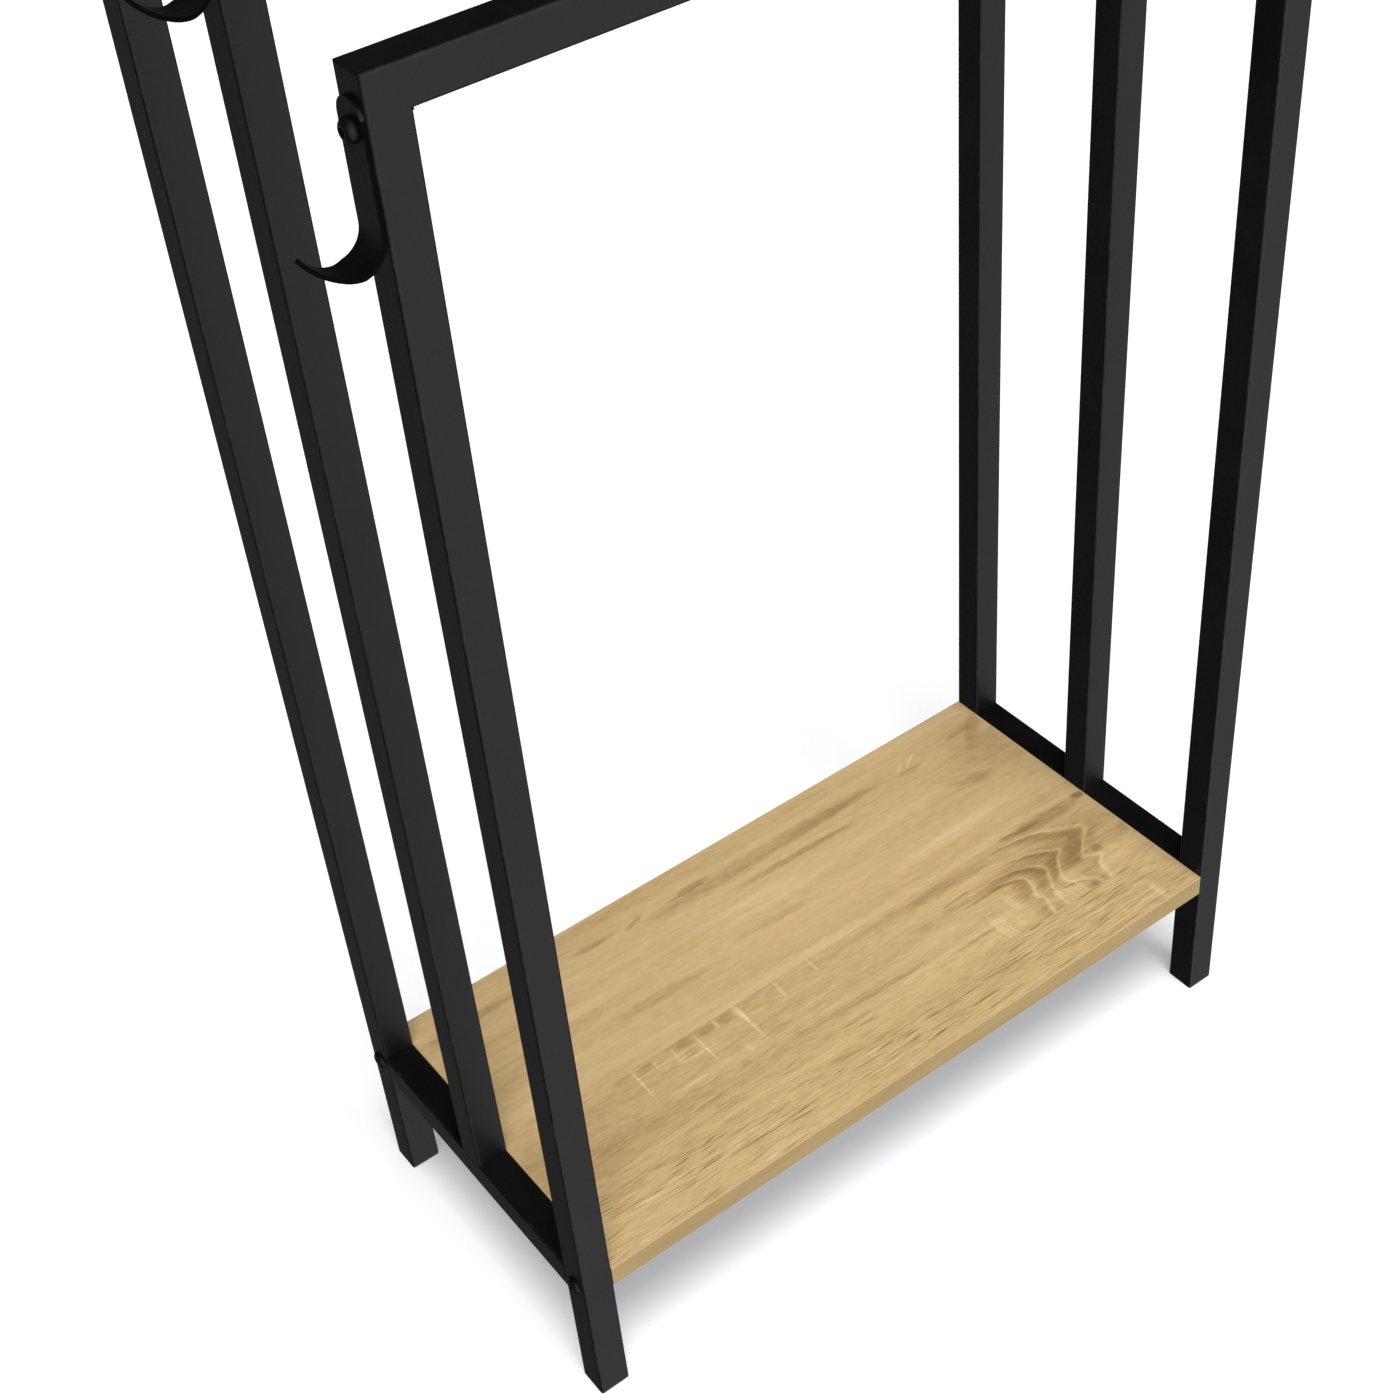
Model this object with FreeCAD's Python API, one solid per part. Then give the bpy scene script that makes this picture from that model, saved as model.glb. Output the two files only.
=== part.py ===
"""Stepped valet stand: three inverted-U steel frames, two side rails, an oak-look shelf and side hooks.

Units are millimetres. +X is to the right, the front faces -Y and +Z is up.
The origin is on the floor, under the middle of the stand.
Every piece is one solid in its own STEP file.
"""
import FreeCAD, Part
import math
import os

# ---- driving dimensions -------------------------------------------------
STAND_WIDTH = 520.0          # over the outer faces of the uprights
STAND_DEPTH = 240.0          # front face of the front legs to rear face of the rear legs
TUBE = 20.0                  # square tube, outside
TUBE_WALL = 1.5
TUBE_CORNER = 1.5            # outside corner radius of the tube
FRONT_HEIGHT = 850.0         # top of the front frame
FRAME_STEP = 70.0            # each frame behind is this much taller
RAIL_TOP = 110.0             # top of the side rails and of the shelf

SHELF_THICKNESS = 16.0
EDGE_BAND = 1.0              # thickness of the edging strip
EDGE_BAND_ROUND = 0.7

BOLT_SHANK = 2.95            # radius of an M6 thread, a hair under its nut
BOLT_HOLE = 3.25
BOLT_HEAD = 6.0              # low round head of a shelf bolt
BOLT_HEAD_HEIGHT = 2.6
SOCKET_FLATS = 4.0           # hexagon key size
SOCKET_DEPTH = 1.9
BOLT_SHORT = 1.0             # the bolt ends this far before the insert does
TIP_CHAMFER = 0.7            # at the end of every screw's thread
HEAD_RIM = 0.5               # straight part of a screw head's side
HEAD_CROWN = 0.55            # flat part of a screw head, as a share of its radius
HEAD_SHOULDER = (0.86, 0.66)  # a point on the round part: share of the radius, share of the height
INSERT_RADIUS = 5.0          # threaded insert in the shelf's end
INSERT_LENGTH = 15.0
INSERT_GROOVES = 3
GROOVE_WIDTH = 1.6
GROOVE_DEPTH = 0.7
THREAD_RADIUS = 3.0

HOOK_WIDTH = 18.4
HOOK_THICKNESS = 2.0
HOOK_TOP_DROP = 11.0         # hook's upper end below the top of its frame
HOOK_SCREW_DROP = 24.0       # hook's screw below the top of its frame
HOOK_BOW_DROP = 65.6         # centre of the hook's bow below the top of its frame
HOOK_BOW_RADIUS = 14.5       # outside of the bow
HOOK_BOW_TURN = 110.0        # degrees from the stem until the bow opens out
HOOK_LIP_RADIUS = 30.0       # outside of the opened lip
HOOK_LIP_TURN = 38.0
HOOK_TAPER = -12.0           # x, from the tube's face, where the strip starts to narrow
HOOK_TIP_WIDTH = 1.8
HOOK_TIP_FLAT = 0.5          # the taper ends this far past the tip
HOOK_HOLE = 3.3
SCREW_HEAD = 5.5             # round head of a hook screw
SCREW_HEAD_HEIGHT = 4.0
SCREW_LENGTH = 12.0
BUSH_RADIUS = 4.5            # threaded bush welded into the tube's outer wall
BUSH_LENGTH = 9.0

PLUG_CAP = 2.0               # the tube stands this far off the floor on its plug
PLUG_LENGTH = 16.0
PLUG_WALL = 2.0              # wall of the plug's hollow stem, and the gap between it and the tube
PLUG_CORNER = 1.0
PLUG_FINS = 3
FIN_THICKNESS = 1.2
FIN_FIRST = 1.5              # first fin above the cap
FIN_PLAY = 0.05              # between a fin and the bore, on each side
SOLE_CHAMFER = 0.5

# ---- derived sizes ------------------------------------------------------
HALF_WIDTH = STAND_WIDTH / 2
HALF_DEPTH = STAND_DEPTH / 2
TUBE_BORE = TUBE - 2 * TUBE_WALL
BORE_CORNER = 0.5            # small corner radius left inside the tube
FRAME_Y = {                  # centre plane of each frame
    "front": -HALF_DEPTH + TUBE / 2,
    "middle": 0.0,
    "rear": HALF_DEPTH - TUBE / 2,
}
FRAME_HEIGHT = {
    "front": FRONT_HEIGHT,
    "middle": FRONT_HEIGHT + FRAME_STEP,
    "rear": FRONT_HEIGHT + 2 * FRAME_STEP,
}
UPRIGHT_NAME = {"front": "front_leg", "middle": "middle_upright", "rear": "rear_leg"}
UPRIGHT_FOOT = {"front": PLUG_CAP, "middle": RAIL_TOP, "rear": PLUG_CAP}
BOLT_Z = RAIL_TOP - SHELF_THICKNESS / 2
SHELF_LENGTH = STAND_WIDTH - 2 * TUBE
MARGIN = 1.0                 # by which a cutting tool overshoots
NEAR = 0.01                  # for finding edges by their place

V = FreeCAD.Vector
X_AXIS, Y_AXIS, Z_AXIS = V(1, 0, 0), V(0, 1, 0), V(0, 0, 1)


# ---- small helpers ------------------------------------------------------
def block(x, y, z, centre):
    """Box of the given size about a centre point."""
    return Part.makeBox(x, y, z, centre - V(x / 2, y / 2, z / 2))


def rounded_bar(side, radius, length):
    """Square bar along +Z from the origin, with its four long edges rounded."""
    bar = Part.makeBox(side, side, length, V(-side / 2, -side / 2, 0))
    long_edges = [e for e in bar.Edges if abs(e.tangentAt(e.FirstParameter).z) > 0.9]
    return bar.makeFillet(radius, long_edges)


def square_tube(start, axis, length):
    """Hollow square tube from a start point along an axis."""
    tube = rounded_bar(TUBE, TUBE_CORNER, length)
    tube = tube.cut(rounded_bar(TUBE_BORE, BORE_CORNER, length))
    turn = FreeCAD.Rotation(Z_AXIS, axis)
    tube.Placement = FreeCAD.Placement(start, turn)
    return tube


def xz_slab(points, arc_middle, depth, y):
    """Solid slab along Y; the outline's first two points are joined by an arc through arc_middle."""
    edges = [Part.Arc(V(points[0][0], 0, points[0][1]),
                      V(arc_middle[0], 0, arc_middle[1]),
                      V(points[1][0], 0, points[1][1])).toShape()]
    loop = points[1:] + points[:1]
    for a, b in zip(loop, loop[1:]):
        edges.append(Part.LineSegment(V(a[0], 0, a[1]), V(b[0], 0, b[1])).toShape())
    slab = Part.Face(Part.Wire(edges)).extrude(V(0, depth, 0))
    slab.translate(V(0, y - depth / 2, 0))
    return slab


def mirrored(shape):
    """The same piece on the other side of the stand."""
    return shape.mirror(V(0, 0, 0), X_AXIS)


def disc(radius, length, start, axis):
    """Cylinder from a start point along an axis."""
    return Part.makeCylinder(radius, length, start, axis)


# ---- frames -------------------------------------------------------------
def corner_mask(height, y, for_upright):
    """Half of a frame's top left corner: the mitre plane, and the outer corner ground round."""
    r = TUBE_CORNER
    outer, inner = -HALF_WIDTH, -HALF_WIDTH + TUBE
    bulge = r * (1 - math.sqrt(0.5))
    quarter = r * (1 - math.cos(math.radians(22.5)))
    eighth = r * (1 - math.sin(math.radians(22.5)))
    on_mitre = (outer + bulge, height - bulge)
    if for_upright:
        outline = [(outer, height - r), on_mitre, (inner, height - TUBE), (inner, 0), (outer, 0)]
        return xz_slab(outline, (outer + quarter, height - eighth), TUBE, y)
    outline = [(outer + r, height), on_mitre, (inner, height - TUBE), (0, height - TUBE), (0, height)]
    return xz_slab(outline, (outer + eighth, height - quarter), TUBE, y)


def upright(frame):
    """Left upright of a frame, mitred at the top, with the holes that its fasteners need."""
    y, height, foot = FRAME_Y[frame], FRAME_HEIGHT[frame], UPRIGHT_FOOT[frame]
    centre_x = -HALF_WIDTH + TUBE / 2
    tube = square_tube(V(centre_x, y, foot), Z_AXIS, height - foot)
    tube = tube.common(corner_mask(height, y, True))
    if frame != "middle":
        tube = tube.cut(disc(BOLT_HOLE, TUBE + 2 * MARGIN, V(-HALF_WIDTH - MARGIN, y, BOLT_Z), X_AXIS))
    screw_z = height - HOOK_SCREW_DROP
    return tube.cut(disc(BUSH_RADIUS, TUBE / 2, V(-HALF_WIDTH - MARGIN, y, screw_z), X_AXIS))


def top_bar(frame):
    """Top bar of a frame, mitred at both ends."""
    y, height = FRAME_Y[frame], FRAME_HEIGHT[frame]
    bar = square_tube(V(-HALF_WIDTH, y, height - TUBE / 2), X_AXIS, STAND_WIDTH)
    left = corner_mask(height, y, False)
    return bar.common(left.fuse(mirrored(left)).removeSplitter())


def side_rail():
    """Left rail between the front leg and the rear leg; the middle frame stands on it."""
    start = V(-HALF_WIDTH + TUBE / 2, -HALF_DEPTH + TUBE, RAIL_TOP - TUBE / 2)
    return square_tube(start, Y_AXIS, STAND_DEPTH - 2 * TUBE)


def leg_plug(frame):
    """Plastic plug in a leg's open end: the cap that meets the floor, and fins that grip the bore."""
    centre = V(-HALF_WIDTH + TUBE / 2, FRAME_Y[frame], 0)
    cap = rounded_bar(TUBE, TUBE_CORNER, PLUG_CAP)
    sole_edges = [e for e in cap.Edges if e.BoundBox.ZMax < NEAR]
    cap = cap.makeChamfer(SOLE_CHAMFER, sole_edges)
    stem_width = TUBE_BORE - 2 * PLUG_WALL
    plug = cap.fuse(rounded_bar(stem_width, PLUG_CORNER, PLUG_LENGTH))
    pitch = (PLUG_LENGTH - PLUG_CAP - FIN_FIRST) / PLUG_FINS
    for i in range(PLUG_FINS):
        fin = rounded_bar(TUBE_BORE - 2 * FIN_PLAY, BORE_CORNER, FIN_THICKNESS)
        fin.translate(V(0, 0, PLUG_CAP + FIN_FIRST + i * pitch))
        plug = plug.fuse(fin)
    core = rounded_bar(stem_width - 2 * PLUG_WALL, PLUG_CORNER, PLUG_LENGTH)
    core.translate(V(0, 0, PLUG_CAP))
    plug = plug.cut(core).removeSplitter()
    plug.translate(centre)
    return plug


# ---- shelf --------------------------------------------------------------
def shelf_board():
    """Chipboard core with a blind hole for each threaded insert."""
    board = block(SHELF_LENGTH - 2 * EDGE_BAND, STAND_DEPTH - 2 * EDGE_BAND, SHELF_THICKNESS,
                  V(0, 0, BOLT_Z))
    for frame in ("front", "rear"):
        hole = insert_hole(frame)
        board = board.cut(hole).cut(mirrored(hole))
    return board


def insert_hole(frame):
    """Space that a threaded insert fills in the shelf's left end."""
    start = V(-SHELF_LENGTH / 2, FRAME_Y[frame], BOLT_Z)
    return disc(INSERT_RADIUS, INSERT_LENGTH, start, X_AXIS)


def long_edge_band(front):
    """Edging on the front or rear edge, its two outer corners rounded."""
    sign = -1 if front else 1
    centre = V(0, sign * (HALF_DEPTH - EDGE_BAND / 2), BOLT_Z)
    band = block(SHELF_LENGTH, EDGE_BAND, SHELF_THICKNESS, centre)
    outer = [e for e in band.Edges
             if abs(e.tangentAt(e.FirstParameter).x) > 0.9 and sign * e.CenterOfMass.y > HALF_DEPTH - NEAR]
    return band.makeFillet(EDGE_BAND_ROUND, outer)


def end_edge_band():
    """Edging on the left end, drilled for the inserts."""
    centre = V(-SHELF_LENGTH / 2 + EDGE_BAND / 2, 0, BOLT_Z)
    band = block(EDGE_BAND, STAND_DEPTH - 2 * EDGE_BAND, SHELF_THICKNESS, centre)
    for frame in ("front", "rear"):
        band = band.cut(insert_hole(frame))
    return band


def shelf_insert(frame):
    """Threaded insert; the grooves leave rings that grip the chipboard."""
    start = V(-SHELF_LENGTH / 2, FRAME_Y[frame], BOLT_Z)
    insert = disc(INSERT_RADIUS, INSERT_LENGTH, start, X_AXIS)
    pitch = INSERT_LENGTH / (INSERT_GROOVES + 1)
    for i in range(INSERT_GROOVES):
        groove_start = start + V((i + 1) * pitch - GROOVE_WIDTH / 2, 0, 0)
        groove = disc(INSERT_RADIUS + MARGIN, GROOVE_WIDTH, groove_start, X_AXIS)
        groove = groove.cut(disc(INSERT_RADIUS - GROOVE_DEPTH, GROOVE_WIDTH, groove_start, X_AXIS))
        insert = insert.cut(groove)
    return insert.cut(disc(THREAD_RADIUS, INSERT_LENGTH, start, X_AXIS))


# ---- fasteners ----------------------------------------------------------
def button_screw(seat, head_radius, head_height, shank_length):
    """Round-headed screw driven towards +X, its head's underside on the seat point."""
    crown = head_radius * HEAD_CROWN
    shoulder_radius = head_radius * HEAD_SHOULDER[0]
    shoulder_height = HEAD_RIM + (head_height - HEAD_RIM) * HEAD_SHOULDER[1]
    profile = [
        Part.Arc(V(-HEAD_RIM, 0, head_radius), V(-shoulder_height, 0, shoulder_radius),
                 V(-head_height, 0, crown)).toShape()]
    corners = [(-head_height, crown), (-head_height, 0), (shank_length, 0),
               (shank_length, BOLT_SHANK - TIP_CHAMFER), (shank_length - TIP_CHAMFER, BOLT_SHANK),
               (0, BOLT_SHANK), (0, head_radius), (-HEAD_RIM, head_radius)]
    for a, b in zip(corners, corners[1:]):
        profile.append(Part.LineSegment(V(a[0], 0, a[1]), V(b[0], 0, b[1])).toShape())
    screw = Part.Face(Part.Wire(profile)).revolve(V(0, 0, 0), X_AXIS, 360)
    screw = screw.cut(hex_socket(head_height))
    screw.translate(seat)
    return screw


def hex_socket(head_height):
    """Hexagonal key socket, sunk from the crown of a head."""
    circumradius = SOCKET_FLATS / math.sqrt(3)
    corners = []
    for i in range(7):
        angle = math.radians(60 * i + 30)
        corners.append(V(-head_height, circumradius * math.cos(angle), circumradius * math.sin(angle)))
    return Part.Face(Part.makePolygon(corners)).extrude(V(SOCKET_DEPTH, 0, 0))


def shelf_bolt(frame):
    """Bolt through a leg into the shelf's insert."""
    seat = V(-HALF_WIDTH, FRAME_Y[frame], BOLT_Z)
    return button_screw(seat, BOLT_HEAD, BOLT_HEAD_HEIGHT, TUBE + INSERT_LENGTH - BOLT_SHORT)


def hook_screw(frame):
    """Screw that holds a hook to its upright."""
    seat = V(-HALF_WIDTH - HOOK_THICKNESS, FRAME_Y[frame], FRAME_HEIGHT[frame] - HOOK_SCREW_DROP)
    return button_screw(seat, SCREW_HEAD, SCREW_HEAD_HEIGHT, SCREW_LENGTH)


def hook_bush(frame):
    """Threaded bush, welded flush into the tube's outer wall."""
    start = V(-HALF_WIDTH, FRAME_Y[frame], FRAME_HEIGHT[frame] - HOOK_SCREW_DROP)
    bush = disc(BUSH_RADIUS, BUSH_LENGTH, start, X_AXIS)
    return bush.cut(disc(THREAD_RADIUS, BUSH_LENGTH, start, X_AXIS))


# ---- hooks --------------------------------------------------------------
def bow_point(radius, degrees):
    """Point on the bow, measured from the stem round under the bow's centre."""
    angle = math.radians(degrees)
    return V(-HOOK_BOW_RADIUS + radius * math.cos(angle), 0, -radius * math.sin(angle))


def lip_point(radius, degrees):
    """Point on the lip, whose centre lies on the bow's last radius."""
    angle = math.radians(HOOK_BOW_TURN + degrees)
    last = math.radians(HOOK_BOW_TURN)
    offset = HOOK_LIP_RADIUS - HOOK_BOW_RADIUS
    centre = V(-HOOK_BOW_RADIUS - offset * math.cos(last), 0, offset * math.sin(last))
    return centre + V(radius * math.cos(angle), 0, -radius * math.sin(angle))


def hook_side_face(top):
    """Side view of a hook, its bow's centre level at z = 0 and the tube's face at x = 0."""
    out, into = HOOK_BOW_RADIUS, HOOK_BOW_RADIUS - HOOK_THICKNESS
    lip_out, lip_in = HOOK_LIP_RADIUS, HOOK_LIP_RADIUS - HOOK_THICKNESS
    turn, lip = HOOK_BOW_TURN, HOOK_LIP_TURN
    edges = [
        Part.LineSegment(V(0, 0, top), bow_point(out, 0)).toShape(),
        Part.Arc(bow_point(out, 0), bow_point(out, turn / 2), bow_point(out, turn)).toShape(),
        Part.Arc(bow_point(out, turn), lip_point(lip_out, lip / 2), lip_point(lip_out, lip)).toShape(),
        Part.LineSegment(lip_point(lip_out, lip), lip_point(lip_in, lip)).toShape(),
        Part.Arc(lip_point(lip_in, lip), lip_point(lip_in, lip / 2), bow_point(into, turn)).toShape(),
        Part.Arc(bow_point(into, turn), bow_point(into, turn / 2), bow_point(into, 0)).toShape(),
        Part.LineSegment(bow_point(into, 0), V(-HOOK_THICKNESS, 0, top)).toShape(),
        Part.LineSegment(V(-HOOK_THICKNESS, 0, top), V(0, 0, top)).toShape(),
    ]
    return Part.Face(Part.Wire(edges))


def hook_plan_mask(top):
    """Full width on the stem, then a taper along the bow to the narrow tip."""
    end_x = lip_point(HOOK_LIP_RADIUS, HOOK_LIP_TURN).x - HOOK_TIP_FLAT
    half, tip = HOOK_WIDTH / 2, HOOK_TIP_WIDTH / 2
    outline = [(MARGIN, -half), (HOOK_TAPER, -half), (end_x, -tip), (end_x, tip), (HOOK_TAPER, half),
               (MARGIN, half), (MARGIN, -half)]
    wire = Part.makePolygon([V(x, y, -HOOK_BOW_RADIUS - MARGIN) for x, y in outline])
    return Part.Face(wire).extrude(V(0, 0, HOOK_BOW_RADIUS + 2 * MARGIN + top))


def hook_front_mask(top):
    """Round upper end of the stem."""
    half = HOOK_WIDTH / 2
    low = -HOOK_BOW_RADIUS - MARGIN
    left, right = V(MARGIN, -half, top - half), V(MARGIN, half, top - half)
    low_left, low_right = V(MARGIN, -half, low), V(MARGIN, half, low)
    wire = Part.Wire([
        Part.Arc(left, V(MARGIN, 0, top), right).toShape(),
        Part.LineSegment(right, low_right).toShape(),
        Part.LineSegment(low_right, low_left).toShape(),
        Part.LineSegment(low_left, left).toShape(),
    ])
    return Part.Face(wire).extrude(V(-4 * HOOK_BOW_RADIUS, 0, 0))


def hook(frame):
    """Hook of flat strip: round upper end, straight stem, bow, and a lip tapered to a point."""
    top = HOOK_BOW_DROP - HOOK_TOP_DROP
    strip = hook_side_face(top).extrude(V(0, HOOK_WIDTH, 0))
    strip.translate(V(0, -HOOK_WIDTH / 2, 0))
    strip = strip.common(hook_plan_mask(top)).common(hook_front_mask(top))
    screw_height = HOOK_BOW_DROP - HOOK_SCREW_DROP
    hole_start = V(-2 * HOOK_THICKNESS, 0, screw_height)
    strip = strip.cut(disc(HOOK_HOLE, 3 * HOOK_THICKNESS, hole_start, X_AXIS))
    strip.translate(V(-HALF_WIDTH, FRAME_Y[frame], FRAME_HEIGHT[frame] - HOOK_BOW_DROP))
    return strip


# ---- the whole stand ----------------------------------------------------
def build():
    """Every node's name and solid."""
    nodes = {}

    def add_pair(stem, shape):
        nodes[stem + "_left"] = shape
        nodes[stem + "_right"] = mirrored(shape)

    for frame in ("front", "middle", "rear"):
        add_pair(UPRIGHT_NAME[frame], upright(frame))
        nodes[frame + "_top_bar"] = top_bar(frame)
        add_pair("hook_" + frame, hook(frame))
        add_pair("hook_screw_" + frame, hook_screw(frame))
        add_pair("hook_bush_" + frame, hook_bush(frame))
    add_pair("side_rail", side_rail())
    for frame in ("front", "rear"):
        add_pair("leg_plug_" + frame, leg_plug(frame))
        add_pair("shelf_bolt_" + frame, shelf_bolt(frame))
        add_pair("shelf_insert_" + frame, shelf_insert(frame))
    nodes["shelf_board"] = shelf_board()
    nodes["shelf_edge_front"] = long_edge_band(True)
    nodes["shelf_edge_rear"] = long_edge_band(False)
    add_pair("shelf_edge", end_edge_band())
    return nodes


os.makedirs("parts", exist_ok=True)
for name, shape in build().items():
    solid = shape.Solids[0]
    volume = shape.Volume / 1000
    print("%-26s solids %d valid %s %.1f cm3" % (name, len(shape.Solids), shape.isValid(), volume))
    solid.exportStep("parts/" + name + ".step")
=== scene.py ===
# %% [markdown]
# # A stepped valet stand: black powder-coated tube and an oak-look shelf
# The stand is welded from 20 mm square tube. Three upside-down U frames stand one behind the other and
# step up towards the back, two low side rails join them, and a chipboard shelf lies between the rails.
# All of those shapes come from the CAD model, which this script never changes. What is left to make here
# is what a CAD model does not hold: the finish of every surface, the weld beads in the corners, and the
# light. Everything is in metres: +X is to the right, the front faces -Y and +Z is up.

# %% Load the frame
import math

import bpy
from mathutils import Matrix, Vector


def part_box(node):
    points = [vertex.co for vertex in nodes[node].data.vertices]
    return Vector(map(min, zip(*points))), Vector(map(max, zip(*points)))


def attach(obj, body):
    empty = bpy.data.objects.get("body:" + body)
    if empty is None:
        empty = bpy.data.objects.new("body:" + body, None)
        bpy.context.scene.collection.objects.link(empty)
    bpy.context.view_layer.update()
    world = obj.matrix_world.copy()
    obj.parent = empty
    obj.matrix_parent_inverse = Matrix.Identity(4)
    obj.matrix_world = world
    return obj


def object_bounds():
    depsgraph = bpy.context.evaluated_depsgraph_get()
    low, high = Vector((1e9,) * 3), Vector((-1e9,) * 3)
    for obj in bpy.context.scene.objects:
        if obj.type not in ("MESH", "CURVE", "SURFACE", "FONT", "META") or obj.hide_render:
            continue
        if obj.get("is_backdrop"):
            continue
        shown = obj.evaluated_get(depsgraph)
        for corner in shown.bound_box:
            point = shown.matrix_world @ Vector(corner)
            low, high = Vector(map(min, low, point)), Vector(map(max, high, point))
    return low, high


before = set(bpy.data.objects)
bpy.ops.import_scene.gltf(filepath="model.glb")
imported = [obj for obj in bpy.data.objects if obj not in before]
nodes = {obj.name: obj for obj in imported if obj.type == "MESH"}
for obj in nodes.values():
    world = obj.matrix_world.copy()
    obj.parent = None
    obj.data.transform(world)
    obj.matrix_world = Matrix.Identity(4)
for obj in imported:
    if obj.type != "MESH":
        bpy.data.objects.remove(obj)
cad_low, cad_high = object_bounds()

BODY = "root"
print("CAD nodes:", len(nodes), "box in mm:", [round(1000 * v) for v in (*cad_low, *cad_high)])

# %% [markdown]
# ## Sizes that the finishes need
# A finish has to know where the edges of its piece are: powder coat is thinnest on a tube's corners, and a
# lathe leaves its rings round a screw's axis. Blender's Pointiness would find edges by itself, but it needs
# joined vertices, and CAD meshes are loose triangles. So the sizes are read from the pieces' own boxes, and
# the shaders work out the distance to an edge from Object coordinates. The three frames are evenly spaced
# in depth and in height, so one wrapped coordinate serves all three.

# %% Sizes read from the CAD boxes
leg_low, leg_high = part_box("front_leg_left")
rail_low, rail_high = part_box("side_rail_left")
_, middle_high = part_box("middle_upright_left")
_, shelf_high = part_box("shelf_board")
bolt_low, bolt_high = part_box("shelf_bolt_front_left")
screw_low, screw_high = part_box("hook_screw_front_left")

MM = 0.001
TUBE = leg_high.x - leg_low.x
LEG_X = -(leg_low.x + leg_high.x) / 2            # distance of an upright's centre line from the middle
FRAME_PITCH = -(leg_low.y + leg_high.y) / 2      # distance from one frame's centre plane to the next
FRAME_STEP = middle_high.z - leg_high.z          # each frame is this much taller than the one before it
RAIL_TOP = rail_high.z
print("tube %.1f mm, frames %.0f mm apart, step %.0f mm" % (TUBE / MM, FRAME_PITCH / MM, FRAME_STEP / MM))

# %% [markdown]
# ## Node trees written as sums
# Shader and geometry trees are graphs of small nodes, and building them by hand takes many lines for a
# simple sum. `Socket` wraps an output socket and lets Python's own operators add Math nodes, so that
# `1 - mask * 0.5` reads as it would on paper. `Tree.add` makes every other kind of node: its settings are
# set first, because they decide which sockets exist, and then its sockets get numbers or links.

# %% Socket and Tree
class Socket:
    """A number coming out of a node; each operator adds one Math node to the same tree."""

    def __init__(self, tree, socket):
        self.tree, self.socket = tree, socket

    def math(self, operation, *operands):
        return self.tree.add("ShaderNodeMath", {"operation": operation}, dict(enumerate(operands)))

    def __add__(self, other):
        return self.math("ADD", self, other)

    def __radd__(self, other):
        return self.math("ADD", other, self)

    def __sub__(self, other):
        return self.math("SUBTRACT", self, other)

    def __rsub__(self, other):
        return self.math("SUBTRACT", other, self)

    def __mul__(self, other):
        return self.math("MULTIPLY", self, other)

    def __rmul__(self, other):
        return self.math("MULTIPLY", other, self)

    def __truediv__(self, other):
        return self.math("DIVIDE", self, other)

    def __rtruediv__(self, other):
        return self.math("DIVIDE", other, self)

    def __pow__(self, other):
        return self.math("POWER", self, other)

    def __rpow__(self, other):
        return self.math("POWER", other, self)

    def __abs__(self):
        return self.math("ABSOLUTE", self)

    def least(self, other):
        return self.math("MINIMUM", self, other)

    def most(self, other):
        return self.math("MAXIMUM", self, other)

    def wrap(self, half):
        """The distance to the nearest whole multiple of twice half, with its sign."""
        return self.math("WRAP", self, half, -half)

    def ramp(self, start, end):
        """0 before start, 1 after end, and smooth between; start may be the larger."""
        low, high, a, b = (start, end, 0.0, 1.0) if start < end else (end, start, 1.0, 0.0)
        return self.tree.add("ShaderNodeMapRange", {"interpolation_type": "SMOOTHSTEP"},
                             {"Value": self, "From Min": low, "From Max": high, "To Min": a, "To Max": b})


class Tree:
    """A node tree that is being built."""

    def __init__(self, node_tree):
        self.node_tree = node_tree

    def add(self, kind, settings=None, sockets=None, out=0):
        """Adds a node, sets its settings, then its sockets, and returns one of its outputs."""
        node = self.node_tree.nodes.new(kind)
        for name, value in (settings or {}).items():
            if name == "stops":
                self.set_stops(node.color_ramp, value)
            elif name == "points":
                self.set_points(node.mapping, value)
            else:
                setattr(node, name, value)
        for key, value in (sockets or {}).items():
            if isinstance(value, Socket):
                self.node_tree.links.new(value.socket, node.inputs[key])
            else:
                node.inputs[key].default_value = value
        return Socket(self, node.outputs[out]) if node.outputs else node

    @staticmethod
    def set_stops(ramp, stops):
        """Gives a colour ramp its stops, a list of (place, colour)."""
        while len(ramp.elements) < len(stops):
            ramp.elements.new(1.0)
        for element, (place, colour) in zip(ramp.elements, stops):
            element.position, element.color = place, colour

    @staticmethod
    def set_points(mapping, points):
        """Gives a curve its points, a list of (place, value) from 0 to 1."""
        curve = mapping.curves[0]
        curve.points[0].location, curve.points[1].location = points[0], points[-1]
        for point in points[1:-1]:
            curve.points.new(*point)
        mapping.update()


print("Socket has", sum(name.startswith("__") for name in vars(Socket)), "special methods")

# %% [markdown]
# ## Ingredients that every finish shares
# A finish is a Principled shader whose inputs are driven by noise. Stretching the noise's space makes it
# into what a process leaves behind: strongly stretched along X it is wood fibre, unstretched it is the
# orange peel of a sprayed powder. These helpers keep that stretch in one place and in real units: a
# `grain` of 2 mm means features about 2 mm across.

# %% Helpers for finishes
def linear(red, green, blue):
    """An 8-bit screen colour as the linear colour that shaders use."""
    def channel(value):
        value /= 255
        return value / 12.92 if value <= 0.04045 else ((value + 0.055) / 1.055) ** 2.4
    return (channel(red), channel(green), channel(blue), 1.0)


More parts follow.
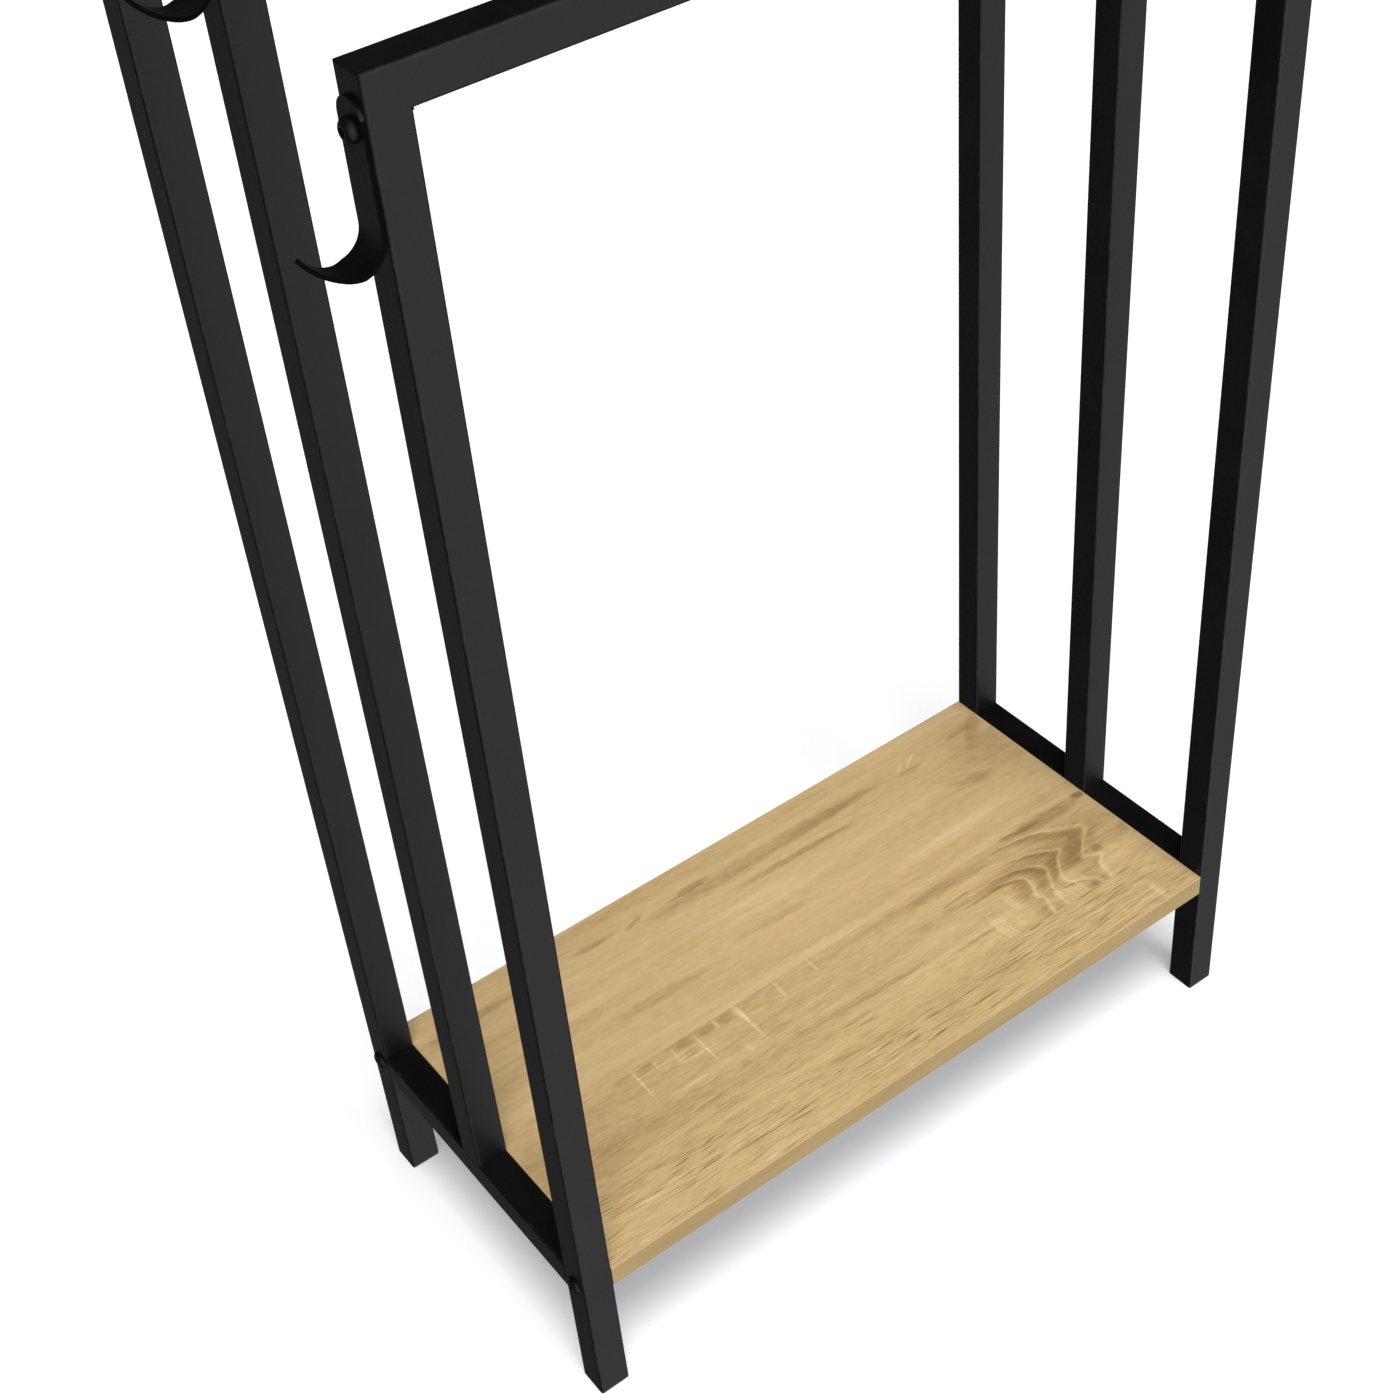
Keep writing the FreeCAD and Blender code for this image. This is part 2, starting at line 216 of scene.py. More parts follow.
class Finish(Tree):
    """A material under construction, with its place on the piece split into x, y and z."""

    def __init__(self, name):
        self.material = bpy.data.materials.new(name)
        self.material.use_nodes = True
        self.material.node_tree.nodes.clear()
        super().__init__(self.material.node_tree)
        self.place = self.add("ShaderNodeTexCoord", out="Object")
        self.x, self.y, self.z = self.split(self.place)

    def split(self, vector):
        """The three numbers of a vector."""
        first = self.add("ShaderNodeSeparateXYZ", None, {"Vector": vector})
        return [Socket(self, socket) for socket in first.socket.node.outputs]

    def join(self, x, y, z=0.0):
        """A vector from three numbers."""
        return self.add("ShaderNodeCombineXYZ", None, {"X": x, "Y": y, "Z": z})

    def noise(self, grain, detail=2.0, roughness=0.5, at=None):
        """Noise about zero; grain is the size of its features, one length or one for each axis."""
        sizes = grain if isinstance(grain, tuple) else (grain, grain, grain)
        stretched = self.add("ShaderNodeMapping", None, {
            "Vector": at or self.place, "Scale": tuple(1 / size for size in sizes)})
        return self.add("ShaderNodeTexNoise", None, {
            "Vector": stretched, "Scale": 1.0, "Detail": detail, "Roughness": roughness}) - 0.5

    def mix(self, a, b, factor):
        """Colour a where factor is 0 and colour b where it is 1."""
        return self.add("ShaderNodeMix", {"data_type": "RGBA"}, {0: factor, 6: a, 7: b}, out=2)

    def bump(self, height, depth, strength=1.0, under=None):
        """Relief of the given real depth; `under` is a coarser relief that it lies on."""
        sockets = {"Height": height, "Distance": depth, "Strength": strength}
        if under:
            sockets["Normal"] = under
        return self.add("ShaderNodeBump", None, sockets)

    def principled(self, **inputs):
        """A Principled shader; underscores in names stand for spaces."""
        sockets = {name.replace("_", " "): value for name, value in inputs.items()}
        return self.add("ShaderNodeBsdfPrincipled", None, sockets)

    def close(self, shader):
        """Ends the finish with this shader."""
        self.add("ShaderNodeOutputMaterial", None, {"Surface": shader})
        print("finish", self.material.name, "has", len(self.node_tree.nodes), "nodes")
        return self.material

    def shade(self, **inputs):
        """Ends the finish with one Principled shader."""
        return self.close(self.principled(**inputs))


print("a screen grey of 128 is %.3f in linear light" % linear(128, 128, 128)[0])

# %% [markdown]
# ## Black powder coat on the tubes
# Powder coat is a plastic powder, sprayed on dry and baked until it flows. It ends as a thin satin black
# skin with a fine grain, a slow orange-peel waviness under it, and a thinner, slightly shinier film along
# the tube's corners. A flat dark colour would miss all of that, and a wrapped image would blur close up. So
# three scales of noise make the grain, the peel and the cloudy changes of gloss, and the distance from the
# tube's two centre planes finds its corners, which are painted lighter in patches as a painted highlight.

# %% Powder coat
COAT_DARK = linear(8, 8, 9)
COAT_LIGHT = linear(17, 17, 18)
COAT_CORNER_HIGHLIGHT = linear(44, 44, 45)
CORNER_START = 8.2 * MM          # a tube's corner begins this far from both of its centre planes
CORNER_END = 9.4 * MM


def powder_coat(name, across):
    """Satin black coat; `across` gives the distances from the tube's two centre planes."""
    coat = Finish(name)
    side, other_side = (abs(distance) for distance in across(coat))
    corner = side.least(other_side).ramp(CORNER_START, CORNER_END)
    cloud = coat.noise(60 * MM, 3.0)
    grain = coat.noise(0.9 * MM, 3.0, 0.6)
    peel = coat.noise(5 * MM, 1.0)
    # Painted highlight: the corners are painted lighter in patches, standing in for the reflection along
    # them
    corner_highlight = corner * coat.noise(14 * MM, 4.0, 0.7).ramp(-0.02, 0.22)
    body = coat.mix(COAT_DARK, COAT_LIGHT, (0.5 + 1.6 * cloud + 0.9 * grain).ramp(0.1, 0.9))
    colour = coat.mix(body, COAT_CORNER_HIGHLIGHT, corner_highlight * 0.5)
    relief = coat.bump(peel, 0.12 * MM)
    relief = coat.bump(grain, 0.10 * MM, 0.7, under=relief)
    return coat.shade(Base_Color=colour, Roughness=0.47 + 0.16 * cloud + 0.14 * grain - 0.07 * corner,
                      Normal=relief, Specular_IOR_Level=0.2)


def upright_section(coat):
    """Distances from an upright's two centre planes."""
    return abs(coat.x) - LEG_X, coat.y.wrap(FRAME_PITCH / 2)


def top_bar_section(coat):
    """The same for a top bar, which runs along X."""
    first_bar_z = leg_high.z - TUBE / 2
    return coat.y.wrap(FRAME_PITCH / 2), (coat.z - first_bar_z).wrap(FRAME_STEP / 2)


def rail_section(coat):
    """The same for a side rail, which runs along Y."""
    return abs(coat.x) - LEG_X, coat.z - (RAIL_TOP - TUBE / 2)


coat_uprights = powder_coat("powder_coat_uprights", upright_section)
coat_top_bars = powder_coat("powder_coat_top_bars", top_bar_section)
coat_rails = powder_coat("powder_coat_side_rails", rail_section)

# %% [markdown]
# ## Powder coat on the hooks
# A hook is cut from flat strip and bent. The coat on its broad sides is that of the tubes, but its cut
# edges are matt and painted much darker, as painted shade, so that they read black. The wrapped y
# coordinate is the distance from the middle of the strip on all six hooks, and the strip's half width
# follows from how far a point is from the tube, because the bow tapers towards its tip.

# %% Hook finish
hook_low, hook_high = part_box("hook_front_left")
HOOK_HALF = (hook_high.y - hook_low.y) / 2
HOOK_REACH = hook_high.x - hook_low.x
TUBE_FACE = -hook_high.x         # distance of an upright's outer face from the middle
HOOK_TAPER_START = 12 * MM       # distance from the tube where the strip begins to narrow
HOOK_TIP_HALF = 0.9 * MM         # half of the strip's width at its tip


def hook_coat():
    """The coat of the tubes, with matt cut edges on the strip that are painted darker as painted shade."""
    coat = Finish("powder_coat_hooks")
    from_middle = abs(coat.y.wrap(FRAME_PITCH / 2))
    from_tube = abs(coat.x) - TUBE_FACE
    narrowed = (from_tube - HOOK_TAPER_START).most(0.0) / (HOOK_REACH - HOOK_TAPER_START)
    half = HOOK_HALF - (HOOK_HALF - HOOK_TIP_HALF) * narrowed
    edge = (from_middle - half).ramp(-0.40 * MM, -0.15 * MM)
    cloud = coat.noise(18 * MM, 3.0)
    grain = coat.noise(0.8 * MM, 3.0, 0.6)
    peel = coat.noise(4 * MM, 1.0)
    body = coat.mix(COAT_DARK, COAT_LIGHT, (0.35 + 1.5 * cloud + 0.8 * grain).ramp(0.1, 0.9))
    relief = coat.bump(peel, 0.10 * MM)
    relief = coat.bump(grain, 0.08 * MM, 0.6, under=relief)
    film = coat.principled(Base_Color=body, Roughness=0.45 + 0.18 * cloud + 0.12 * grain, Normal=relief,
                           Specular_IOR_Level=0.17)
    # Painted shade: the cut edges get a darker colour as well as a matt surface
    shaded_cut_edge = coat.principled(Base_Color=coat.mix(linear(5, 5, 6), linear(12, 12, 12), 0.5 + 2 * grain),
                               Roughness=0.85 + 0.2 * grain, Normal=relief, Specular_IOR_Level=0.03)
    return coat.close(coat.add("ShaderNodeMixShader", None, {0: edge, 1: film, 2: shaded_cut_edge}))


coat_hooks = hook_coat()

# %% [markdown]
# ## Blackened screws
# The heads are turned steel, blackened in a hot salt bath. The lathe leaves fine rings round the axis, and
# the key wears the rim of its socket back to bare steel. The rings are noise that reads only the distance
# from the screw's axis. Hook screws climb with the frames, so their height wraps; the shelf bolts are all
# level.

# %% Screw finish
SOCKET_RIM = 2.35 * MM           # radius where the hexagonal socket meets the head
BLACKENED = linear(9, 9, 10)
BARE_STEEL = linear(92, 90, 88)


def screw_finish(name, height, climb):
    """Blackened steel round an axis along X at this height; climb is the step to the next frame's screw."""
    steel = Finish(name)
    rise = steel.z - height
    rise = rise.wrap(climb / 2) if climb else rise
    radius = (steel.y.wrap(FRAME_PITCH / 2) ** 2 + rise ** 2) ** 0.5
    ring = steel.noise(0.12 * MM, 2.0, at=steel.join(radius, 0.0))
    stain = steel.noise(2.2 * MM, 4.0, 0.65)
    rim = radius.ramp(SOCKET_RIM + 0.5 * MM, SOCKET_RIM) * radius.ramp(SOCKET_RIM - 0.4 * MM, SOCKET_RIM)
    worn = rim * stain.ramp(-0.05, 0.2)
    return steel.shade(Base_Color=steel.mix(BLACKENED, BARE_STEEL, worn * 0.30),
                       Metallic=0.05 + 0.5 * worn, Roughness=0.46 + 0.22 * stain + 0.10 * ring,
                       Normal=steel.bump(ring, 0.03 * MM, 0.6), Specular_IOR_Level=0.2)


screw_centre = (screw_low.z + screw_high.z) / 2
bolt_centre = (bolt_low.z + bolt_high.z) / 2
finish_hook_screws = screw_finish("black_hook_screws", screw_centre, FRAME_STEP)
finish_shelf_bolts = screw_finish("black_shelf_bolts", bolt_centre, 0)

# %% [markdown]
# ## Oak decor on the shelf
# The shelf is chipboard with a printed and embossed oak paper. The print imitates three roughly sawn boards
# laid side by side, so each strip needs a grain of its own: a smooth one at the back, a plain one in the
# middle and crisp, wavy lines along the front. One noise serves all three, because its third coordinate
# jumps from strip to strip. Every layer only makes the tone lighter or darker, and one colour ramp at the
# end turns the tone into oak, so that all layers keep to the same family of colours.

# %% Oak: colours and places
OAK_STOPS = [
    (0.00, linear(146, 117, 74)),
    (0.28, linear(182, 152, 103)),
    (0.50, linear(204, 174, 123)),
    (0.72, linear(218, 189, 138)),
    (1.00, linear(234, 209, 164)),
]
BACK_SEAM = -7 * MM              # y of the line between the back strip and the middle one
FRONT_SEAM = -81 * MM            # y of the line between the middle strip and the front one

# Marks in the print: x and y of both ends, width (all in mm), and how much lighter they are
BACK_STREAKS = [
    (-127, 96, -81, 95, 7, -0.30), (-81, 92, -60, 98, 5, -0.26), (-47, 95, -1, 97, 8, -0.28),
    (-95, 90, 165, 92, 17, -0.22), (40, 91, 150, 90, 13, -0.14), (-20, 75, 125, 72, 8, -0.26),
    (155, 89, 167, 98, 4, 0.26), (163, 90, 178, 99, 4, 0.24), (150, 86, 180, 87, 7, -0.20),
    (210, 76, 246, 108, 14, -0.18), (196, 92, 236, 97, 6, -0.18), (-250, 93, -140, 95, 10, -0.20),
    (-145, 33, -35, 27, 13, -0.16), (-40, 39, 45, 33, 10, -0.14), (165, 62, 215, 42, 18, -0.16),
    (-70, 60, 70, 52, 26, 0.12), (-200, 50, -60, 62, 16, 0.08), (60, 16, 220, 22, 16, 0.10),
    (176, 60, 280, 80, 90, -0.09),
]
SAW_MARKS = [
    (-164, -12, -146, -12, 10, -0.14), (-147, -12, -131, -12, 10, -0.16), (-117, -12, -99, -12, 10, -0.16),
    (-99, -12, -83, -12, 10, -0.14), (-83, -12, -67, -12, 10, -0.14), (-116, -20, -100, -20, 8, -0.12),
    (-146.5, -5, -147, -39, 2.8, 0.34), (-131.5, -8, -132, -22, 2.4, 0.20),
    (-116.5, -6, -118, -27, 2.4, 0.20), (-99, -7, -99, -41, 2.8, 0.28), (-122, -24.5, -86, -24.5, 3, 0.26),
    (-83, -5, -82, -18, 3, 0.28), (-66, -3, -65, -26, 6.5, 0.32), (-64.5, -8, -65, -48, 3.4, 0.26),
    (-33, -5, -34, -27, 4, 0.26), (-5, -5, -4, -22, 3.4, 0.26), (-162, -16.5, -84, -16.5, 2, 0.18),
    (-134, -41, -107, -41, 3, 0.24), (-48, -37.5, -4, -37.5, 2, 0.22), (-72, -41, -40, -41, 8, -0.16),
    (-79, -36, -77, -47, 5, 0.16),
]
MIDDLE_STREAKS = [
    (154, -7, 248, -14, 17, -0.24), (156, -7, 205, -12, 5, -0.22), (228, -7, 244, -11, 8, -0.45),
    (92, -30, 124, -29, 2.4, -0.26), (96, -40, 146, -40, 3, -0.26), (88, -38, 116, -38.5, 2, 0.24),
    (108, -33, 134, -33, 2.4, 0.22), (60, -65, 120, -65, 4, -0.22), (-30, -56, 84, -60, 5, -0.16),
    (60, -14, 160, -17, 12, -0.16), (208, -52, 246, -40, 22, 0.14), (203, -54, 214, -56, 9, -0.22),
    (130, -43, 131, -66, 9, 0.18), (110, -34, 262, -44, 66, -0.14),
]
FRONT_SEAM_MARKS = [
    (109, -52, 110, -82, 8, 0.16), (117, -81.5, 138, -82, 2.2, -0.42), (162, -82, 192, -82.5, 2, -0.36),
    (196, -82.5, 218, -82, 2, -0.42), (211, -96, 211, -122, 8, 0.18),
]
MARKS = BACK_STREAKS + SAW_MARKS + MIDDLE_STREAKS + FRONT_SEAM_MARKS

# Arches of growth rings: width of the light line, width of the dark wood inside it, and its course
# from the front seam to its top as (y, x), all in mm
ARCHES = [
    (5.4, 26, [(-81, 197), (-75, 198), (-67, 200), (-60, 206), (-56, 196), (-50, 200), (-43, 207),
               (-34, 215), (-30, 210), (-25, 200), (-18, 188), (-14, 170), (-11, 140)]),
    (3.8, 15, [(-81, 189), (-75, 187), (-71, 182), (-68, 174), (-60, 172), (-53, 176), (-45, 182),
               (-40, 188), (-36, 182), (-31, 173), (-28, 163), (-25, 140)]),
    (3.6, 16, [(-81, 158), (-64, 160), (-60, 162), (-53, 166), (-47, 169), (-41, 165), (-37, 158),
               (-34, 146), (-31, 120)]),
    (3.6, 16, [(-81, 146), (-74, 147), (-66, 150), (-62, 147), (-56, 150), (-49, 152), (-43, 150),
               (-39, 138), (-36, 112)]),
]
ARCH_LOW_X, ARCH_HIGH_X = 100, 240   # mm; the curves of the arches keep within these
print("oak print:", len(MARKS), "marks and", len(ARCHES), "arches")

# %% [markdown]
# ### Layers of the print
# The crisp lines are the tops of a noise stretched along X: only what rises above a threshold is drawn, so
# the lines are long, thin and broken, much as a saw leaves them. An arch is a curve that gives x for every
# y. To the left of it lies dark late wood that fades inwards, and along it a light ridge, because growth
# rings end abruptly on their outer side. A mark is a soft lens with ragged edges.

# %% Oak: layers
class Oak(Finish):
    """The board's finish; each layer is a tone to be added."""

    def __init__(self):
        super().__init__("oak_decor_board")
        self.ragged = self.noise((9 * MM, 3 * MM, 1), 3.0, 0.6)
        seam_y = self.y + 1.2 * MM * self.ragged
        below_back = seam_y.ramp(BACK_SEAM + 0.5 * MM, BACK_SEAM - 0.5 * MM)
        self.front = seam_y.ramp(FRONT_SEAM + 0.5 * MM, FRONT_SEAM - 0.5 * MM)
        self.middle = below_back - self.front
        self.back = 1 - below_back
        drift = self.noise((140 * MM, 40 * MM, 1), 2.0)
        wave = self.noise((38 * MM, 9 * MM, 1), 2.0)
        strip = 3.1 * self.middle + 7.7 * self.front
        self.along = self.join(self.x, self.y + 9 * MM * drift + 3 * MM * wave, strip)

    def grain(self):
        """Slow bands, streaks, mottling and fibres, in other shares in each strip."""
        band = self.noise((300 * MM, 20 * MM, 1), 2.0, 0.5, self.along)
        streak = self.noise((110 * MM, 6.5 * MM, 1), 4.0, 0.6, self.along)
        mottle = self.noise((10 * MM, 2.8 * MM, 1), 2.0, 0.5, self.along)
        fibre = self.noise((13 * MM, 0.7 * MM, 1), 2.0, 0.6, self.along)
        rough = 0.22 + 0.32 * self.middle + 0.44 * self.front
        level = 0.56 * self.back + 0.46 * self.middle + 0.50 * self.front
        broad = 1 - 0.45 * self.front
        return level + broad * (0.62 * band + 0.42 * streak) + 0.34 * mottle + rough * fibre

    def lines(self):
        """Crisp dark lines with a light fleck beside them, from the middle of the board to its front."""
        cut = self.noise((26 * MM, 0.9 * MM, 1), 1.0, 0.4, self.along)
        cluster = self.noise((60 * MM, 9 * MM, 1), 2.0, 0.5, self.along).ramp(-0.12, 0.05)
        amount = self.front + 0.55 * self.middle * self.y.ramp(-15 * MM, -70 * MM)
        dark = cut.ramp(0.08, 0.18)
        light = cut.ramp(-0.10, -0.22)
        return amount * cluster * (0.26 * light - 0.40 * dark)

    def lens(self, start, end, width):
        """A soft mark from start to end, widest in its middle; a narrow one has the more ragged edge."""
        ragged = min(0.9, 5 / width)
        run = Vector(end) - Vector(start)
        centre = (Vector(start) + Vector(end)) / 2 * MM
        framed = self.add("ShaderNodeMapping", {"vector_type": "TEXTURE"}, {
            "Vector": self.place, "Location": (*centre, shelf_high.z),
            "Rotation": (0, 0, math.atan2(run.y, run.x)),
            "Scale": (run.length / 2 * MM, width / 2 * MM, 1)})
        radius = self.add("ShaderNodeVectorMath", {"operation": "LENGTH"}, {0: framed}, out="Value")
        return (radius + ragged * self.ragged).ramp(1.0, 0.35)

    def marks(self):
        """All the streaks, saw marks and knots."""
        tone = 0.0
        for x1, y1, x2, y2, width, lighter in MARKS:
            tone = tone + lighter * self.lens((x1, y1), (x2, y2), width)
        return tone

    def arch(self, ridge, inside, course):
        """One ring's light ridge and the dark wood on its inner side."""
        low, high = course[0][0], course[-1][0]
        span = ARCH_HIGH_X - ARCH_LOW_X
        points = [((y - low) / (high - low), (x - ARCH_LOW_X) / span) for y, x in course]
        y = self.y + 2.5 * MM * self.ragged
        height = (y - low * MM) / ((high - low) * MM)
        curve = self.add("ShaderNodeFloatCurve", {"points": points}, {"Value": height})
        outward = self.x - (ARCH_LOW_X + span * curve) * MM + 2 * MM * self.ragged
        uneven = 1 + 3.0 * self.noise((14 * MM, 7 * MM, 1), 1.0)
        light = (abs(outward) / (ridge * MM * uneven)).ramp(1.0, 0.1)
        dark = outward.ramp(-inside * MM, -0.35 * inside * MM) * outward.ramp(0.5 * MM, -1.8 * MM)
        below_top = y.ramp(high * MM, (high - 3) * MM)
        return below_top * (0.22 * light - 0.22 * dark)

    def arches(self):
        """The figured patch: four arches, and the light streaks that fan out at their feet."""
        tone = 0.0
        for ridge, inside, course in ARCHES:
            tone = tone + self.arch(ridge, inside, course)
        leaning = self.join(self.x + 0.25 * self.y + 5 * MM * self.ragged, self.y)
        streaks = self.noise((3.4 * MM, 34 * MM, 1), 1.0, 0.5, leaning).ramp(-0.05, 0.16)
        fan = self.lens((136, -76), (196, -70), 26) + self.lens((98, -72), (130, -68), 24)
        return self.middle * (tone + 0.26 * fan * streaks)


print("oak layers:", ", ".join(name for name in vars(Oak) if not name.startswith("_")))

# %% [markdown]
# ### The whole board
# The tones of all layers are added up and sent through one colour ramp. Only the grain and the crisp lines
# are pressed into the real paper, so only they feed the bump. That also keeps the shader small, because a
# Bump node makes Blender work out everything behind it three times.

# %% Oak: the whole board
def oak_board():
    """The board's finish, with all its layers."""
    oak = Oak()
    embossed = oak.grain() + oak.lines()
    tone = embossed + oak.marks() + oak.arches()
    colour = oak.add("ShaderNodeValToRGB", {"stops": OAK_STOPS}, {"Fac": tone})
    relief = oak.bump(embossed, 0.25 * MM, 0.5)
    return oak.shade(Base_Color=colour, Roughness=0.56 - 0.12 * (tone - 0.5), Normal=relief,
                     Specular_IOR_Level=0.35)


finish_board = oak_board()

# %% [markdown]
# ## Edging
# The board's raw edges are closed with a 1 mm strip in a matching colour. Its print is plainer than the
# board's: faint lines along the strip, and a paler rim painted along its upper corner as a painted
# highlight.
# The noise is long in X and in Y and short in Z, so the same finish lies along all four edges.

# %% Edge bands
BAND_DARK = linear(166, 139, 88)
BAND_LIGHT = linear(184, 157, 104)
BAND_TOP_HIGHLIGHT = linear(204, 178, 128)


def edge_band():
    """The strip along the board's edges."""
    band = Finish("oak_edge_band")
    line = band.noise((90 * MM, 90 * MM, 1.1 * MM), 3.0, 0.6)
    cloud = band.noise((70 * MM, 70 * MM, 9 * MM), 2.0)
    tone = 0.5 + 0.9 * line + 1.1 * cloud
    body = band.mix(BAND_DARK, BAND_LIGHT, tone.ramp(0.0, 1.0))
    # Painted highlight: the band's upper corner is painted paler
    rim = band.z.ramp(shelf_high.z - 1.3 * MM, shelf_high.z - 0.5 * MM)
    return band.shade(Base_Color=band.mix(body, BAND_TOP_HIGHLIGHT, 0.7 * rim),
                      Roughness=0.52 + 0.15 * line, Normal=band.bump(line, 0.06 * MM, 0.4),
                      Specular_IOR_Level=0.35)


finish_band = edge_band()

# %% [markdown]
# ## Plugs, inserts and bushes
# The plugs in the open legs are moulded black plastic with the fine spark-eroded texture of their mould.
# The inserts in the shelf and the bushes in the tubes are zinc-plated steel: pale, slightly blue, and
# cloudy where the plating grew in crystals. Both are mostly hidden, but a part is judged from all sides.

# %% Plastic and zinc
def moulded_plastic():
    """Black plastic with the mould's pitting, scuffed where it stands on the floor."""
    plastic = Finish("black_plastic_plugs")
    pit = plastic.noise(0.5 * MM, 2.0, 0.7)
    flow = plastic.noise(12 * MM, 2.0)
    scuff = plastic.z.ramp(1.2 * MM, 0.0) * plastic.noise(2 * MM, 4.0, 0.7).ramp(0.0, 0.2)
    colour = plastic.mix(linear(16, 16, 16), linear(58, 57, 55), scuff * 0.5)
    return plastic.shade(Base_Color=colour, Roughness=0.58 + 0.12 * flow + 0.16 * pit,
                         Normal=plastic.bump(pit, 0.05 * MM, 0.7), Specular_IOR_Level=0.4)


def zinc_plating():
    """Pale steel with a cloudy, crystalline plating."""
    zinc = Finish("zinc_plated_steel")
    crystal = zinc.add("ShaderNodeTexVoronoi", {"feature": "F1"},
                       {"Vector": zinc.place, "Scale": 1 / (1.6 * MM)}, out="Color")
    cloud = zinc.noise(3 * MM, 3.0)
    colour = zinc.mix(linear(176, 180, 186), linear(204, 204, 200), zinc.split(crystal)[0])
    return zinc.shade(Base_Color=colour, Metallic=0.95 + 0.05 * cloud, Roughness=0.34 + 0.25 * cloud,
                      Normal=zinc.bump(cloud, 0.02 * MM, 0.5))


finish_plastic = moulded_plastic()
finish_zinc = zinc_plating()

# %% [markdown]
# ## Dressing the CAD pieces
# Each CAD piece keeps its mesh and gets its finish through its own material slots. The pieces' names say
# what they are, so a short table from the start of a name to a finish dresses all of them. The first
# match counts, so the longer starts come first, and what is left at the end is a leg or an upright.

# %% Finishes by name
FINISH_OF = [
    ("hook_screw", finish_hook_screws), ("hook_bush", finish_zinc), ("hook", coat_hooks),
    ("shelf_bolt", finish_shelf_bolts), ("shelf_insert", finish_zinc), ("shelf_board", finish_board),
    ("shelf_edge", finish_band), ("leg_plug", finish_plastic), ("side_rail", coat_rails),
    ("front_top_bar", coat_top_bars), ("middle_top_bar", coat_top_bars), ("rear_top_bar", coat_top_bars),
    ("", coat_uprights),
]


def dress(piece, finish):
    """Puts the finish in every material slot of a piece."""
    if not piece.material_slots:
        piece.data.materials.append(finish)
    for slot in piece.material_slots:
        slot.material = finish


for name, piece in nodes.items():
    dress(piece, next(finish for start, finish in FINISH_OF if name.startswith(start)))
print("dressed", len(nodes), "CAD pieces")

# %% [markdown]
# ## Weld beads
# The tubes are welded before they are coated, and the beads stay visible in the inside corners: a row of
# small overlapping ripples, one for each pulse of the welder. Beads repeat and follow a straight seam, so
# Geometry Nodes makes them: a line of points, on each a ripple that is longer than it is wide, a little
# scatter in its size from a fixed seed, then one mesh. Each seam is a short edge in the input mesh, so one
# tree serves every corner.

# %% Weld bead tree
# Name, kind and value of the tree's inputs; the pitch is the distance from one ripple to the next
BEAD_INPUTS = [
    ("Bead Radius", "NodeSocketFloat", 0.6 * MM),
    ("Ripple Pitch", "NodeSocketFloat", 1.1 * MM),
    ("Scatter", "NodeSocketFloat", 0.14),
    ("Seed", "NodeSocketInt", 7),
]


def bead_tree():
    """Geometry Nodes that turn every edge of a mesh into a rippled weld bead."""
    group = bpy.data.node_groups.new("weld_beads", "GeometryNodeTree")
    sockets = {}
    group.interface.new_socket("Geometry", in_out="INPUT", socket_type="NodeSocketGeometry")
    group.interface.new_socket("Geometry", in_out="OUTPUT", socket_type="NodeSocketGeometry")
    for name, kind, value in BEAD_INPUTS:
        item = group.interface.new_socket(name, in_out="INPUT", socket_type=kind)
        item.default_value = value
        sockets[name] = item.identifier
    tree = Tree(group)
    entry = group.nodes.new("NodeGroupInput")
    given = {socket.name: Socket(tree, socket) for socket in entry.outputs if socket.name}
    seams = tree.add("GeometryNodeMeshToCurve", None, {"Mesh": given["Geometry"]})
    points = tree.add("GeometryNodeCurveToPoints", {"mode": "LENGTH"},
                      {"Curve": seams, "Length": given["Ripple Pitch"]})
    turn = Socket(tree, points.socket.node.outputs["Rotation"])
    ripple = tree.add("GeometryNodeMeshUVSphere", None, {"Segments": 12, "Rings": 8, "Radius": 1.0})
    ripple = tree.add("GeometryNodeSetShadeSmooth", None, {"Geometry": ripple})
    low, high = 1 - given["Scatter"], 1 + given["Scatter"]
    vary = tree.add("FunctionNodeRandomValue", {"data_type": "FLOAT"},
                    {2: low, 3: high, "Seed": given["Seed"]}, out=1)
    round_size = given["Bead Radius"] * vary
    half_length = 1.25 * given["Ripple Pitch"]
    size = tree.add("ShaderNodeCombineXYZ", None, {"X": round_size, "Y": round_size, "Z": half_length})
    beads = tree.add("GeometryNodeInstanceOnPoints", None,
                     {"Points": points, "Instance": ripple, "Rotation": turn, "Scale": size})
    beads = tree.add("GeometryNodeRealizeInstances", None, {"Geometry": beads})
    beads = tree.add("GeometryNodeSetMaterial", None, {"Geometry": beads, "Material": coat_uprights})
    exit_node = group.nodes.new("NodeGroupOutput")
    group.links.new(beads.socket, exit_node.inputs["Geometry"])
    print("bead tree has", len(group.nodes), "nodes")
    return group, sockets


# %% [markdown]
# ### Where the beads lie
# Every frame has a seam across the inside of each top corner. Each side rail has one under it at either
# end, and one on top behind the middle upright. A modifier knows the tree's inputs by their identifiers,
# not by their names. The result is made a plain mesh at once, because only plain meshes are exported.

# %% Weld seams
SEAM_INSET = 1.6 * MM            # a bead stops this far from the tube's sides, where its corners are round


def seam_edges():
    """Start and end of every weld seam."""
    seams = []
    half = TUBE / 2 - SEAM_INSET
    inner_x = LEG_X - TUBE / 2
    for side in (-1, 1):
        for step in (-1, 0, 1):
            y = step * FRAME_PITCH
            z = leg_high.z + (step + 1) * FRAME_STEP - TUBE
            seams.append(((side * inner_x, y - half, z), (side * inner_x, y + half, z)))
        for y, z in ((rail_low.y, rail_low.z), (rail_high.y, rail_low.z), (TUBE / 2, RAIL_TOP)):
            seams.append(((side * (LEG_X - half), y, z), (side * (LEG_X + half), y, z)))
    return seams


